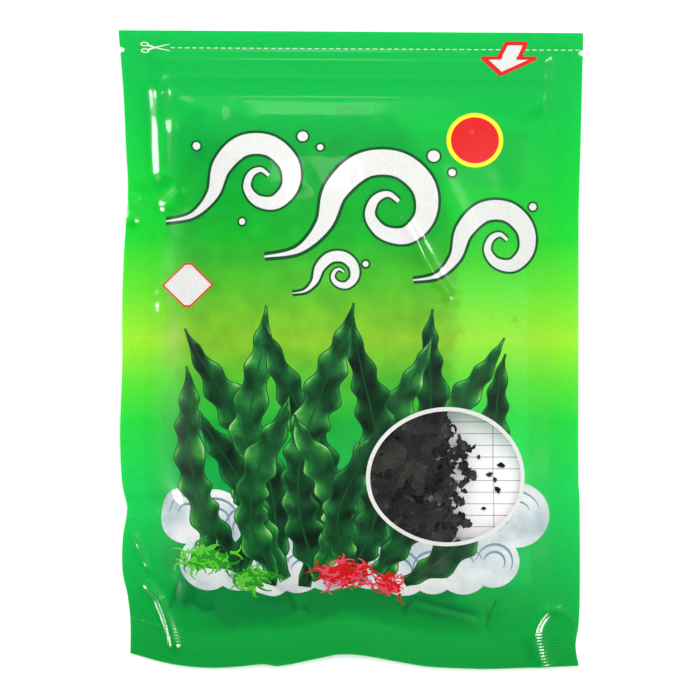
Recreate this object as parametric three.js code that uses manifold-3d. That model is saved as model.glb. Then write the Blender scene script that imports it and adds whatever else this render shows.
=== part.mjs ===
// A flat, zip-top, heat-sealed film pouch of dried cut wakame, lying on its back.
// Millimetres, +Z up, +X to the right of the printed front, +Y towards the zip.
// The origin is the centre of the pouch's outline, on the surface that it lies on.
// Each film is worked out from the flat web that it was cut from: u runs across the web and v runs up it.

import * as THREE from 'three';
import { mergeVertices } from 'three/addons/utils/BufferGeometryUtils.js';
import Module from 'manifold-3d';

const wasm = await Module();
wasm.setup();

// Flat size of each web, and the bands along its edges
const WEB_WIDTH = 160;
const WEB_LENGTH = 222;
const SIDE_SEAL = 9;
const BOTTOM_SEAL = 12.5;
const FILM = 0.3;
const WELD_GAP = 0.1;

// The zip: two tapes, each with its interlocking profile, between the contents and the top seal
const ZIP_BOTTOM = 88.5;
const ZIP_TOP = 101;
const TOP_SEAL_EDGE = 104.5;
const ZIP_PART = 1.3;
const ZIP_LIFT = 0.12;
const ZIP_HALF_LENGTH = 64;
const ZIP_CRUSH = 66.4;
const ZIP_TAPE = 0.25;
const RIDGE = { stem: 0.5, head: 0.9, height: 1.85, headHeight: 0.5 };
const GROOVE = { inner: 1.4, mouth: 0.8, claw: 0.4, depth: 1.55, hook: 0.3 };

// Heights above the surface that the pouch lies on
const WELD_HEIGHT = 3;
const TOP_WELD_HEIGHT = 2.4;
const FRONT_RISE = 17.5;
const FLAT_BACK_FILL = 0.42;

// Tear notches: [side, place up the web, radius]
const NOTCHES = [[-1, 104.3, 1.1], [1, 104, 1.05]];
const NOTCH_DEPTH = 1.7;

// The wakame: its place in the web, its clearance to the films, and the size of its flakes
const HEAP_CLEARANCE = 0.35;
const HEAP_LEFT = -58;
const HEAP_BOTTOM = -91;
const HEAP_TOP = 79;
const CORE_INSET = 8;
const CORE_DEPTH = 1.6;
const FLAKE_PITCH = 15;
const FLAKE_RADIUS = 9.5;
const FLAKE_THICKNESS = 0.8;
const FLAKE_SIDES = 5;
const FLAKE_TILT = 0.2;
const FLAKE_DROP = 0.9;

// Loose crumbs on the back film, to the right of the heap: [u, v, size, turn]
const CRUMB_RADIUS = 1.3;
const CRUMBS = [
  [53, -40, 1, 0.4], [49, -43.5, 0.8, 1.3], [51.5, -46, 0.9, 2.2], [52, -49.5, 0.7, 3], [56, -20, 0.9, 0.9],
];

const halfWidth = WEB_WIDTH / 2;
const halfLength = WEB_LENGTH / 2;
const cavityHalfWidth = halfWidth - SIDE_SEAL;
const cavityBottom = -halfLength + BOTTOM_SEAL;

const clamp = (x, low, high) => Math.min(high, Math.max(low, x));
const bump = (x, centre, width) => Math.exp(-(((x - centre) / width) ** 2));

// 0 at from, 1 at to, smooth between, in either direction
function ramp(x, from, to) {
  const t = clamp((x - from) / (to - from), 0, 1);
  return t * t * (3 - 2 * t);
}

// A smooth curve through [place, value] pairs given in rising order of place
function curveThrough(pairs) {
  const slope = (i) => {
    const before = pairs[Math.max(i - 1, 0)];
    const after = pairs[Math.min(i + 1, pairs.length - 1)];
    return (after[1] - before[1]) / (after[0] - before[0]);
  };
  return (place) => {
    const x = clamp(place, pairs[0][0], pairs[pairs.length - 1][0]);
    let i = 0;
    while (i < pairs.length - 2 && x > pairs[i + 1][0]) i += 1;
    const width = pairs[i + 1][0] - pairs[i][0];
    const t = (x - pairs[i][0]) / width;
    const start = pairs[i][1] * (1 + 2 * t) + slope(i) * width * t;
    const end = pairs[i + 1][1] * (3 - 2 * t) - slope(i + 1) * width * (1 - t);
    return start * (1 - t) ** 2 + end * t ** 2;
  };
}

// How far the filled pouch draws each edge in from the flat web's edge, by the place along that edge
const leftDrawnIn = curveThrough([
  [-111, 4.1], [-100, 4.1], [-90, 3.1], [-83, 1.7], [-76, 1.3], [-66, 1.7], [-55, 3.1], [-48, 1.7],
  [-41, 1], [-28, 0.6], [-7, 1.3], [14, 1.3], [34, 2], [55, 3.4], [69, 2.7], [90, 1.7], [111, 0],
]);
const rightDrawnIn = curveThrough([
  [-111, 1.6], [-104, 2.7], [-97, 1.7], [-85, 1.3], [-52, 1.3], [-45, 1.7], [41, 1.7], [70, 1], [111, 0],
]);
const bottomDrawnIn = curveThrough([
  [-80, 6.4], [-66, 2.8], [-52, 1.5], [-40, 2], [-31, 2.8], [-25, 2.2], [-11, 4.9], [-4, 6.3], [4, 5.9],
  [17, 3.5], [26, 2], [36, 1.4], [48, 1.1], [62, 1.5], [80, 2.1],
]);
const topDrawnIn = (u) => 1.6 + u / WEB_WIDTH;

// How full the pouch is across the web and up it: 1 at its highest, 0 at its seals
const fillAcross = curveThrough([
  [-71, 0], [-66, 0.16], [-58, 0.46], [-48, 0.73], [-36, 0.91], [-20, 0.99], [-8, 1], [8, 0.95],
  [22, 0.84], [36, 0.65], [48, 0.44], [58, 0.26], [66, 0.1], [71, 0],
]);
const fillUp = curveThrough([
  [-98.5, 0], [-95, 0.14], [-88, 0.42], [-78, 0.69], [-64, 0.89], [-46, 0.98], [-28, 1], [-5, 0.95],
  [20, 0.84], [45, 0.68], [65, 0.48], [76, 0.3], [84, 0.11], [88.5, 0],
]);
const fill = (u, v) => (Math.abs(u) >= cavityHalfWidth || v <= cavityBottom || v >= ZIP_BOTTOM
  ? 0 : Math.max(0, fillAcross(u) * fillUp(v)));

// Half of the gap that the zip holds open between the films
const zipParting = (u, v) => ZIP_PART * ramp(Math.abs(u), cavityHalfWidth, ZIP_CRUSH)
  * ramp(v, TOP_SEAL_EDGE, ZIP_TOP) * ramp(v, ZIP_BOTTOM - 9, ZIP_BOTTOM);

// Height of the plane in which the films are welded: wavy along the sides, lifted in the middle of the bottom
function weldHeight(u, v) {
  const side = 0.5 * Math.sin(v / 17 + 1) * Math.sign(u) * ramp(Math.abs(u), 50, 76);
  const bottom = ramp(v, cavityBottom + 12, cavityBottom - 4)
    * (1.9 * bump(u, -2, 17) + 0.7 * bump(u, -31, 8) - 0.8 * ramp(Math.abs(u), 45, 80));
  return THREE.MathUtils.lerp(WELD_HEIGHT + side + bottom, TOP_WELD_HEIGHT, ramp(v, 55, 82));
}

// Where a place on the web comes to lie, seen from above
function placeX(u, v) {
  return u + leftDrawnIn(v) * ramp(u, -15, -cavityHalfWidth) - rightDrawnIn(v) * ramp(u, 15, cavityHalfWidth);
}

function placeY(u, v) {
  return v + bottomDrawnIn(u) * ramp(v, -45, cavityBottom) - topDrawnIn(u) * ramp(v, 45, ZIP_BOTTOM);
}

// Heights of the films' faces at a place on the web
const frontInside = (u, v) => weldHeight(u, v) + WELD_GAP / 2 + FRONT_RISE * fill(u, v) + zipParting(u, v);
const frontOutside = (u, v) => frontInside(u, v) + FILM;
const backOutside = (u, v) => (weldHeight(u, v) - WELD_GAP / 2 - FILM - zipParting(u, v))
  * (1 - ramp(fill(u, v), 0, FLAT_BACK_FILL));
const backInside = (u, v) => backOutside(u, v) + FILM;

// Lines across and up the web, closer together at the seals and the zip
const acrossLines = [
  -80, -75.5, -71, -66.4, -61, -55, -48, -40, -31, -21, -11, -1,
  9, 19, 29, 38, 47, 55, 61, 66.4, 71, 75.5, 80,
];
const upLines = [
  -111, -105, -98.5, -95, -90, -84, -76, -67, -57, -46, -35, -24, -13, -2, 9, 20, 31, 42, 52, 61, 69,
  76, 82, 88.5, 94.5, 101, 104.5, 111,
];

// A closed sheet between two heights, over a grid of lines on the web
function sheetGeometry(across, up, lower, upper) {
  const columns = across.length;
  const rows = up.length;
  const positions = [];
  [upper, lower].forEach((height) => up.forEach((v) => across.forEach((u) => {
    positions.push(placeX(u, v), placeY(u, v), height(u, v));
  })));
  const below = columns * rows;
  const index = [];
  for (let j = 0; j < rows - 1; j += 1) {
    for (let i = 0; i < columns - 1; i += 1) {
      const a = j * columns + i;
      const [b, c, d] = [a + 1, a + columns + 1, a + columns];
      index.push(a, b, c, a, c, d);
      index.push(below + a, below + c, below + b, below + a, below + d, below + c);
    }
  }
  const wall = (a, b) => index.push(a, below + a, below + b, a, below + b, b);
  for (let i = 0; i < columns - 1; i += 1) {
    wall(i, i + 1);
    wall(columns * (rows - 1) + i + 1, columns * (rows - 1) + i);
  }
  for (let j = 0; j < rows - 1; j += 1) {
    wall((j + 1) * columns, j * columns);
    wall(j * columns + columns - 1, (j + 1) * columns + columns - 1);
  }
  const geometry = new THREE.BufferGeometry();
  geometry.setAttribute('position', new THREE.Float32BufferAttribute(positions, 3));
  geometry.setIndex(index);
  return geometry;
}

function toManifold(source) {
  const geometry = source.clone();
  geometry.deleteAttribute('normal');
  geometry.deleteAttribute('uv');
  const merged = mergeVertices(geometry, 1e-4);
  return new wasm.Manifold(new wasm.Mesh({
    numProp: 3,
    vertProperties: new Float32Array(merged.attributes.position.array),
    triVerts: new Uint32Array(merged.index.array),
  }));
}

function toGeometry(manifold) {
  const mesh = manifold.getMesh();
  const geometry = new THREE.BufferGeometry();
  geometry.setAttribute('position', new THREE.Float32BufferAttribute(mesh.vertProperties, 3));
  geometry.setIndex(Array.from(mesh.triVerts));
  geometry.computeVertexNormals();
  return geometry;
}

// A film with its two tear notches
function filmGeometry(lower, upper) {
  let film = toManifold(sheetGeometry(acrossLines, upLines, lower, upper));
  NOTCHES.forEach(([side, v, radius]) => {
    const cutter = new THREE.CylinderGeometry(radius, radius, 4 * FRONT_RISE, 12);
    cutter.rotateX(Math.PI / 2);
    cutter.scale(NOTCH_DEPTH / radius, 1, 1);
    cutter.translate(placeX(side * halfWidth, v), placeY(side * halfWidth, v), 0);
    film = film.subtract(toManifold(cutter));
  });
  return toGeometry(film);
}

// A zip strip: its profile, drawn with z upwards from the tape, drawn out along the pouch's width
function zipGeometry(profile) {
  const geometry = new THREE.ExtrudeGeometry(profile, { depth: 2 * ZIP_HALF_LENGTH, bevelEnabled: false });
  geometry.rotateX(Math.PI / 2);
  geometry.rotateZ(Math.PI / 2);
  geometry.translate(-ZIP_HALF_LENGTH, 0, 0);
  return geometry;
}

function outlineShape(points) {
  return new THREE.Shape(points.map(([x, y]) => new THREE.Vector2(x, y)));
}

const zipMiddle = (ZIP_TOP + ZIP_BOTTOM) / 2;
const tapeHalf = (ZIP_TOP - ZIP_BOTTOM) / 2 - 0.3;

function ridgeProfile() {
  const { stem, head, height, headHeight } = RIDGE;
  const neck = height - headHeight;
  return outlineShape([
    [-tapeHalf, 0], [tapeHalf, 0], [tapeHalf, ZIP_TAPE], [stem / 2, ZIP_TAPE], [stem / 2, neck],
    [head / 2, neck], [stem / 4, height], [-stem / 4, height], [-head / 2, neck], [-stem / 2, neck],
    [-stem / 2, ZIP_TAPE], [-tapeHalf, ZIP_TAPE],
  ]);
}

function grooveProfile() {
  const { inner, mouth, claw, depth, hook } = GROOVE;
  const outer = inner / 2 + claw;
  return outlineShape([
    [-tapeHalf, 0], [tapeHalf, 0], [tapeHalf, ZIP_TAPE], [outer, ZIP_TAPE], [outer, depth],
    [mouth / 2, depth], [mouth / 2, depth - hook], [inner / 2, depth - hook], [inner / 2, ZIP_TAPE],
    [-inner / 2, ZIP_TAPE], [-inner / 2, depth - hook], [-mouth / 2, depth - hook], [-mouth / 2, depth],
    [-outer, depth], [-outer, ZIP_TAPE], [-tapeHalf, ZIP_TAPE],
  ]);
}

// Lays a strip along the zip's slight slope, with its tape at a height
function layZip(geometry, tapeHeight) {
  const position = geometry.attributes.position;
  for (let i = 0; i < position.count; i += 1) {
    position.setY(i, zipMiddle + position.getY(i) - topDrawnIn(position.getX(i)));
    position.setZ(i, tapeHeight + position.getZ(i));
  }
  return geometry;
}

// Repeatable random numbers between 0 and 1
function randomSource(seed) {
  let state = seed;
  return () => {
    state = (state * 1664525 + 1013904223) % 4294967296;
    return state / 4294967296;
  };
}

// A thin, bent flake with an uneven outline, lying round the origin. Its two faces have the same triangles.
function flakeGeometry(radius, thickness, random) {
  const bend = radius * (0.1 + 0.25 * random());
  const top = [[0, 0, bend * (random() - 0.5)]];
  for (let i = 0; i < FLAKE_SIDES; i += 1) {
    const angle = ((i + 0.7 * random()) / FLAKE_SIDES) * 2 * Math.PI;
    const reach = radius * (0.65 + 0.55 * random());
    top.push([reach * Math.cos(angle), 0.75 * reach * Math.sin(angle), bend * (2 * random() - 1)]);
  }
  const positions = [];
  top.forEach(([x, y, z]) => positions.push(x, y, z + thickness / 2));
  top.forEach(([x, y, z]) => positions.push(x, y, z - thickness / 2));
  const below = top.length;
  const index = [];
  for (let i = 1; i <= FLAKE_SIDES; i += 1) {
    const next = (i % FLAKE_SIDES) + 1;
    index.push(0, i, next, below, below + next, below + i);
    index.push(i, below + i, below + next, i, below + next, next);
  }
  const geometry = new THREE.BufferGeometry();
  geometry.setAttribute('position', new THREE.Float32BufferAttribute(positions, 3));
  geometry.setIndex(index);
  return geometry;
}

// The ragged right margin of the wakame, by the place up the web
const heapRight = curveThrough([
  [-95, 36], [-80, 41], [-66, 40], [-57, 42], [-48, 44], [-38, 40], [-24, 36], [0, 38], [30, 38],
  [55, 33], [80, 20],
]);

// The heap: a core with flakes fused to it all over, trimmed to the space between the films
function heapGeometry() {
  const random = randomSource(7);
  const core = (v) => heapRight(v) - CORE_INSET;
  const coreUp = upLines.filter((v) => v > HEAP_BOTTOM + CORE_INSET - 4 && v < HEAP_TOP - CORE_INSET + 6);
  const coreAcross = acrossLines.filter((u) => u > HEAP_LEFT + CORE_INSET - 4 && u < 30);
  const underside = (u, v) => backInside(u, v) + HEAP_CLEARANCE;
  const crown = (u, v) => frontInside(u, v) - HEAP_CLEARANCE - CORE_DEPTH * (0.7 + 0.6 * random());
  let heap = toManifold(sheetGeometry(coreAcross, coreUp, underside, crown));

  const place = new THREE.Object3D();
  for (let v = HEAP_BOTTOM; v <= HEAP_TOP; v += FLAKE_PITCH * 0.8) {
    const right = heapRight(v);
    const count = Math.round((right - HEAP_LEFT) / FLAKE_PITCH);
    for (let i = 0; i <= count; i += 1) {
      const u = HEAP_LEFT + ((i + 0.3 * (random() - 0.5)) / count) * (right - HEAP_LEFT);
      const edge = u > core(v) || u < HEAP_LEFT + CORE_INSET;
      const sink = edge ? 0.3 + 0.5 * random() : 0.03;
      const height = THREE.MathUtils.lerp(frontInside(u, v), backInside(u, v), sink) - FLAKE_DROP;
      const slopeX = (frontInside(u + 2, v) - frontInside(u - 2, v)) / 4;
      const slopeY = (frontInside(u, v + 2) - frontInside(u, v - 2)) / 4;
      place.position.set(placeX(u, v), placeY(u, v), height);
      const pitch = Math.atan(slopeY) + FLAKE_TILT * (random() - 0.5);
      const roll = -Math.atan(slopeX) + FLAKE_TILT * (random() - 0.5);
      place.rotation.set(pitch, roll, 2 * Math.PI * random());
      place.updateMatrix();
      const flake = flakeGeometry(FLAKE_RADIUS * (0.75 + 0.5 * random()), FLAKE_THICKNESS, random);
      heap = heap.add(toManifold(flake.applyMatrix4(place.matrix)));
    }
  }
  const spaceAcross = acrossLines.filter((u) => u > -66 && u < 60);
  const spaceUp = upLines.filter((v) => v > -98 && v < 88);
  const space = sheetGeometry(spaceAcross, spaceUp, underside, (u, v) => frontInside(u, v) - HEAP_CLEARANCE);
  const bodies = heap.intersect(toManifold(space)).decompose();
  bodies.sort((a, b) => b.volume() - a.volume());
  return toGeometry(bodies[0]);
}

function crumbGeometry([u, v, size, turn], seed) {
  const flake = flakeGeometry(CRUMB_RADIUS * size, FLAKE_THICKNESS, randomSource(seed));
  flake.rotateZ(turn);
  flake.computeBoundingBox();
  const clear = backInside(u, v) + HEAP_CLEARANCE - flake.boundingBox.min.z;
  return flake.translate(placeX(u, v), placeY(u, v), clear);
}

const pouch = new THREE.Group();

function addPiece(name, geometry, colour, roughness) {
  geometry.computeVertexNormals();
  const material = new THREE.MeshStandardMaterial({ color: colour, roughness, metalness: 0 });
  const mesh = new THREE.Mesh(geometry, material);
  mesh.name = name;
  pouch.add(mesh);
}

const grooveHeight = frontInside(0, zipMiddle) - ZIP_LIFT;
const ridgeHeight = backInside(0, zipMiddle) + ZIP_LIFT;
const groove = layZip(zipGeometry(grooveProfile()).rotateX(Math.PI), grooveHeight);
const ridge = layZip(zipGeometry(ridgeProfile()), ridgeHeight);
addPiece('front_film', filmGeometry(frontInside, frontOutside), 0x2ad24f, 0.25);
addPiece('back_film', filmGeometry(backOutside, backInside), 0x2ab858, 0.25);
addPiece('zip_groove', groove, 0xcfe8d4, 0.4);
addPiece('zip_ridge', ridge, 0xcfe8d4, 0.4);
addPiece('wakame_heap', heapGeometry(), 0x2c332c, 0.8);
CRUMBS.forEach((crumb, i) => addPiece(`crumb_${i + 1}`, crumbGeometry(crumb, i + 11), 0x2c332c, 0.8));

export default pouch;
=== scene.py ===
import math
import random

import bmesh
import bpy
from mathutils import Matrix, Vector, noise
from mathutils.geometry import delaunay_2d_cdt


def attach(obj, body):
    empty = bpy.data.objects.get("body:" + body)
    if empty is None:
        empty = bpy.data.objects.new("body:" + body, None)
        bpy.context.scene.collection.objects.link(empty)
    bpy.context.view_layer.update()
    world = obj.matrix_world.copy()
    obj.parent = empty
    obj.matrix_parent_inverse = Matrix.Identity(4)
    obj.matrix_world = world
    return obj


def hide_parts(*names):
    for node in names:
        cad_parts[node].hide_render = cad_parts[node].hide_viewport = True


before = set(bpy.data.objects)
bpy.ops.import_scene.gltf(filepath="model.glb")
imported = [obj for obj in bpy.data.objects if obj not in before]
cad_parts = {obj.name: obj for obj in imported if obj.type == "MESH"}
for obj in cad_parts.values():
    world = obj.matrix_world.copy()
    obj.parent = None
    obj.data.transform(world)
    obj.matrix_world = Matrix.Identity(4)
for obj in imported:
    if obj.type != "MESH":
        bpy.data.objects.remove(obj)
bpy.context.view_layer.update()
bpy.ops.object.select_all(action="DESELECT")
print("frame loaded:", ", ".join(sorted(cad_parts)))

mm = 0.001

# the pouch as it was cut, in mm: u runs across the flat film and v runs up it
pouch = {
    "width": 160.0,
    "length": 222.0,
    "sideSeal": 9.0,
    "bottomSeal": 12.5,
    "zipBottom": 88.5,
    "zipTop": 101.0,
    "zipLine": 94.6,
    "topSeal": 104.5,
    "zipParting": 1.3,
    "zipCrush": 66.4,
    "weldHeight": 3.0,
    "topWeldHeight": 2.4,
    "frontRise": 17.5,
    "flatBackFill": 0.42,
    "filmThickness": 0.12,
}
halfWidth = pouch["width"] / 2
halfLength = pouch["length"] / 2
cavityHalfWidth = halfWidth - pouch["sideSeal"]
cavityBottom = -halfLength + pouch["bottomSeal"]


def ramp(x, start, end):
    t = min(1.0, max(0.0, (x - start) / (end - start)))
    return t * t * (3 - 2 * t)


def bump(x, centre, width):
    return math.exp(-(((x - centre) / width) ** 2))


def curveThrough(pairs):
    # a smooth curve through (place, value) pairs, flat outside them
    def slope(i):
        before = pairs[max(i - 1, 0)]
        after = pairs[min(i + 1, len(pairs) - 1)]
        return (after[1] - before[1]) / (after[0] - before[0])

    def value(place):
        x = min(max(place, pairs[0][0]), pairs[-1][0])
        i = 0
        while i < len(pairs) - 2 and x > pairs[i + 1][0]:
            i += 1
        span = pairs[i + 1][0] - pairs[i][0]
        t = (x - pairs[i][0]) / span
        start = pairs[i][1] * (1 + 2 * t) + slope(i) * span * t
        end = pairs[i + 1][1] * (3 - 2 * t) - slope(i + 1) * span * (1 - t)
        return start * (1 - t) ** 2 + end * t ** 2

    return value


leftDrawnIn = curveThrough([
    (-111, 4.1), (-100, 4.1), (-90, 3.1), (-83, 1.7), (-76, 1.3), (-66, 1.7), (-55, 3.1), (-48, 1.7),
    (-41, 1), (-28, 0.6), (-7, 1.3), (14, 1.3), (34, 2), (55, 3.4), (69, 2.7), (90, 1.7), (111, 0),
])
rightDrawnIn = curveThrough([
    (-111, 1.6), (-104, 2.7), (-97, 1.7), (-85, 1.3), (-52, 1.3), (-45, 1.7), (41, 1.7), (70, 1), (111, 0),
])
bottomDrawnIn = curveThrough([
    (-80, 6.4), (-66, 2.8), (-52, 1.5), (-40, 2), (-31, 2.8), (-25, 2.2), (-11, 4.9), (-4, 6.3), (4, 5.9),
    (17, 3.5), (26, 2), (36, 1.4), (48, 1.1), (62, 1.5), (80, 2.1),
])
fillAcross = curveThrough([
    (-71, 0), (-66, 0.16), (-58, 0.46), (-48, 0.73), (-36, 0.91), (-20, 0.99), (-8, 1), (8, 0.95),
    (22, 0.84), (36, 0.65), (48, 0.44), (58, 0.26), (66, 0.1), (71, 0),
])
fillUp = curveThrough([
    (-98.5, 0), (-95, 0.14), (-88, 0.42), (-78, 0.69), (-64, 0.89), (-46, 0.98), (-28, 1), (-5, 0.95),
    (20, 0.84), (45, 0.68), (65, 0.48), (76, 0.3), (84, 0.11), (88.5, 0),
])
heapRight = curveThrough([
    (-95, 36), (-80, 41), (-66, 40), (-57, 42), (-48, 44), (-38, 40), (-24, 36), (0, 38), (30, 38),
    (55, 33), (80, 20),
])


def topDrawnIn(u):
    return 1.6 + u / pouch["width"]


def fill(u, v):
    if abs(u) >= cavityHalfWidth or v <= cavityBottom or v >= pouch["zipBottom"]:
        return 0.0
    return max(0.0, fillAcross(u) * fillUp(v))


def zipParting(u, v):
    return (pouch["zipParting"] * ramp(abs(u), cavityHalfWidth, pouch["zipCrush"])
            * ramp(v, pouch["topSeal"], pouch["zipTop"])
            * ramp(v, pouch["zipBottom"] - 9, pouch["zipBottom"]))


weld = {"twist": 0.5, "twistLength": 17, "middleLift": 1.9, "leftLift": 0.7, "cornerDrop": 0.8}


def weldHeight(u, v):
    # how high the welded bands lie: the sides twist, the bottom edge waves, the top lies lower
    side = weld["twist"] * math.sin(v / weld["twistLength"] + 1) * math.copysign(1, u) * ramp(abs(u), 50, 76)
    lifted = weld["middleLift"] * bump(u, -2, 17) + weld["leftLift"] * bump(u, -31, 8)
    lifted -= weld["cornerDrop"] * ramp(abs(u), 45, 80)
    bottom = lifted * ramp(v, cavityBottom + 12, cavityBottom - 4)
    t = ramp(v, 55, 82)
    return (pouch["weldHeight"] + side + bottom) * (1 - t) + pouch["topWeldHeight"] * t


def placeX(u, v):
    return (u + leftDrawnIn(v) * ramp(u, -15, -cavityHalfWidth)
            - rightDrawnIn(v) * ramp(u, 15, cavityHalfWidth))


def placeY(u, v):
    return (v + bottomDrawnIn(u) * ramp(v, -45, cavityBottom)
            - topDrawnIn(u) * ramp(v, 45, pouch["zipBottom"]))


def frontInside(u, v):
    return weldHeight(u, v) + 0.05 + pouch["frontRise"] * fill(u, v) + zipParting(u, v)


def backOutside(u, v):
    height = weldHeight(u, v) - 0.35 - zipParting(u, v)
    return height * (1 - ramp(fill(u, v), 0, pouch["flatBackFill"]))


def heapMask(u, v):
    # 1 where the wakame presses on the films, 0 beside it
    right = heapRight(v)
    return (ramp(u, -66, -54) * ramp(u, right + 2, right - 6)
            * ramp(v, -95, -86) * ramp(v, 82, 68))


# creases of the front film: height and half-width in mm, shade painted into the ink along the crease, and the
# path on the flat film
creases = {
    "leftSealRidge": (2.75, 3.6, 0, [(-67.9, 89), (-67.3, 76), (-67.7, 61)]),
    "leftEdgeBuckle": (2.0, 2.3, 0, [(-78.2, 50.5), (-77.8, 45)]),
    "leftFacet": (1.4, 2.3, 0, [(-66.5, 49.5), (-62, 54)]),
    "leftFacetUnder": (-0.35, 1.7, 0, [(-69, 47), (-65, 45.5), (-60, 48)]),
    "leftSpotUpper": (0.45, 1.1, 0, [(-67.6, 19.2), (-67.4, 18.2)]),
    "leftSpotLower": (0.6, 1.2, 0, [(-67.0, 14.6), (-66.6, 12.8)]),
    "leftWaist": (-0.8, 2.6, 0, [(-80, -55), (-72, -54), (-63, -51)]),
    "leftUpperWaist": (0.7, 3.5, 0, [(-80, 57), (-74, 58)]),
    "middleStreak": (1.15, 2.3, 0, [(19, 42.6), (22, 37), (25, 31), (28.5, 25), (33.5, 19)]),
    "rightTent": (0.4, 3.8, 0, [(30, 62), (47, 30), (58, -5)]),
    "rightTentLow": (-0.3, 3.5, 0, [(52, 62), (60, 28), (64, -10)]),
    "lowLeftLine": (1.0, 0.95, 0, [(-75.9, -65.7), (-73, -73), (-71, -78)]),
    "lowLeftTuck": (2.0, 2.0, 0, [(-71.4, -85.4), (-68.7, -89), (-67, -95), (-64.8, -104)]),
    # the folds below, along the bottom, paint shade into the green ink, darkest on their paths; the
    # leaf-shaped one is nearly only painted shade
    "lowLeftFold": (-0.3, 1.3, 1.2, [(-61, -82.5), (-63, -87), (-65.4, -91)]),
    "lowLeftLeafShade": (0.05, 1.7, 1.1, [(-56.2, -81), (-55.8, -84), (-59, -88.5)]),
    "lowLeftRim": (-0.25, 1.2, 0.7, [(-57, -88), (-53, -91), (-49.5, -90)]),
    "bottomFold": (-0.4, 1.2, 1.3, [(-28.5, -82), (-24.5, -83.8), (-21.4, -86.8), (-19.4, -91.6)]),
    "bottomNip": (-0.25, 0.9, 1.0, [(-16.8, -91.4), (-14.6, -93.8)]),
    "bottomFoldRight": (-0.5, 1.2, 0.9,
                        [(18.3, -94), (19.3, -90), (22, -87.6), (31, -89.4), (43.5, -92.3)]),
    "bottomSwellRight": (0.35, 1.9, 0.5, [(24, -91.5), (32, -93), (42, -95)]),
    "bottomNipRight": (-0.3, 1.0, 0.9, [(50.4, -87.8), (48.4, -92.3), (47.6, -96)]),
    "lowRightCurl": (1.2, 1.5, 0, [(65.3, -97), (66.8, -94), (69, -91.6), (71.8, -90.9)]),
    "lowRightTuck": (1.5, 2.5, 0, [(64.6, -100), (66.2, -104.5), (67, -110.5)]),
    "rightEdgeSwell": (0.6, 1.8, 0, [(77, -94), (74, -92)]),
    "zipLeft": (0.32, 2.4, 0, [(-62, 87), (-56, 84), (-46, 82)]),
    "zipRight": (0.5, 2.6, 0, [(66, 86), (56, 80), (44, 76)]),
}


def distanceToPath(u, v, path):
    best = 1e9
    for (au, av), (bu, bv) in zip(path, path[1:]):
        du, dv = bu - au, bv - av
        t = min(1.0, max(0.0, ((u - au) * du + (v - av) * dv) / (du * du + dv * dv)))
        best = min(best, math.hypot(u - au - t * du, v - av - t * dv))
    return best


def creasesNear(u, v, widths):
    # each crease whose path lies within so many of its half-widths, with its distance
    for height, width, shade, path in creases.values():
        reach = widths * width
        if (min(p[0] for p in path) - reach < u < max(p[0] for p in path) + reach
                and min(p[1] for p in path) - reach < v < max(p[1] for p in path) + reach):
            distance = distanceToPath(u, v, path)
            if distance < reach:
                yield height, width, shade, distance


def creaseHeight(u, v):
    return sum(height * bump(distance, 0, width) for height, width, shade, distance in creasesNear(u, v, 3.0))


zipRidges = {"places": (pouch["zipBottom"] + 0.5, pouch["zipLine"], pouch["zipTop"] - 0.5),
             "heights": (0.04, 0.18, 0.06), "width": 0.9, "end": 68.0}
relief = {"pressed": 0.3, "pressedBroad": 0.55, "slack": 0.35, "sidePucker": 0.3, "bottomPucker": 0.35,
          "hem": 9, "overSolid": 0.17, "overBack": 0.28}
# shade painted into the green ink over the contents and along folds: strength, broad and fine patchiness,
# width share along a fold, and the colour that darkens the ink
paintedContentsShade = {"cover": 0.72, "broad": 0.5, "fine": 0.3, "tuckShare": 0.7, "tint": (0.45, 0.6, 0.68, 1)}


def wander(x, y, z):
    # smooth unevenness of about -1 to 1
    return noise.noise(Vector((x, y, z)))


def waver(u, v, lengthU, lengthV, seed):
    return wander(u / lengthU, v / lengthV, seed)


def frontRelief(u, v):
    # what the flakes, the seals, the zip and handling leave in the front film, over its even form
    hem = relief["hem"]
    pressed = relief["pressed"] * waver(u, v, 7.5, 7.5, 3.1)
    pressed += relief["pressedBroad"] * waver(u, v, 16, 16, 8.4)
    slack = relief["slack"] * waver(u, v, 26, 34, 1.7)
    pucker = relief["sidePucker"] * waver(u, v, 14, 7, 5.3) * bump(abs(u), cavityHalfWidth - 4, 6)
    pucker += relief["bottomPucker"] * waver(u, v, 8, 16, 2.2) * bump(v, cavityBottom + 5, 7)
    inside = ramp(abs(u), cavityHalfWidth, cavityHalfWidth - hem) * ramp(v, cavityBottom, cavityBottom + hem)
    inside *= ramp(v, pouch["zipBottom"], pouch["zipBottom"] - hem)
    zipLines = sum(height * bump(v, place, zipRidges["width"])
                   for place, height in zip(zipRidges["places"], zipRidges["heights"]))
    zipLines *= ramp(abs(u), zipRidges["end"] + 2, zipRidges["end"] - 2)
    return pressed * heapMask(u, v) * inside + slack * inside + pucker + zipLines + creaseHeight(u, v)


def frontOutside(u, v):
    return max(frontInside(u, v) + relief["overSolid"] + frontRelief(u, v),
               backOutside(u, v) + relief["overBack"])


def paintedFrontShade(u, v):
    # how much shade is painted into the front film's green ink, softly: patchy where the dark contents lie
    # behind it, and along the folds
    patches = 0.8 + paintedContentsShade["broad"] * waver(u, v, 9, 7, 21.0)
    patches += paintedContentsShade["fine"] * waver(u, v, 3.5, 3, 14.0)
    paintedFoldShade = sum(shade * bump(distance, 0, paintedContentsShade["tuckShare"] * width)
                for height, width, shade, distance in creasesNear(u, v, 2.5))
    return min(1.0, max(0.0, paintedContentsShade["cover"] * patches * heapMask(u, v)) + paintedFoldShade)


print("pouch form ready")

# the print: closed outlines on the flat film in mm, the later ones over the earlier ones; some have a tone
art = []


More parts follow.
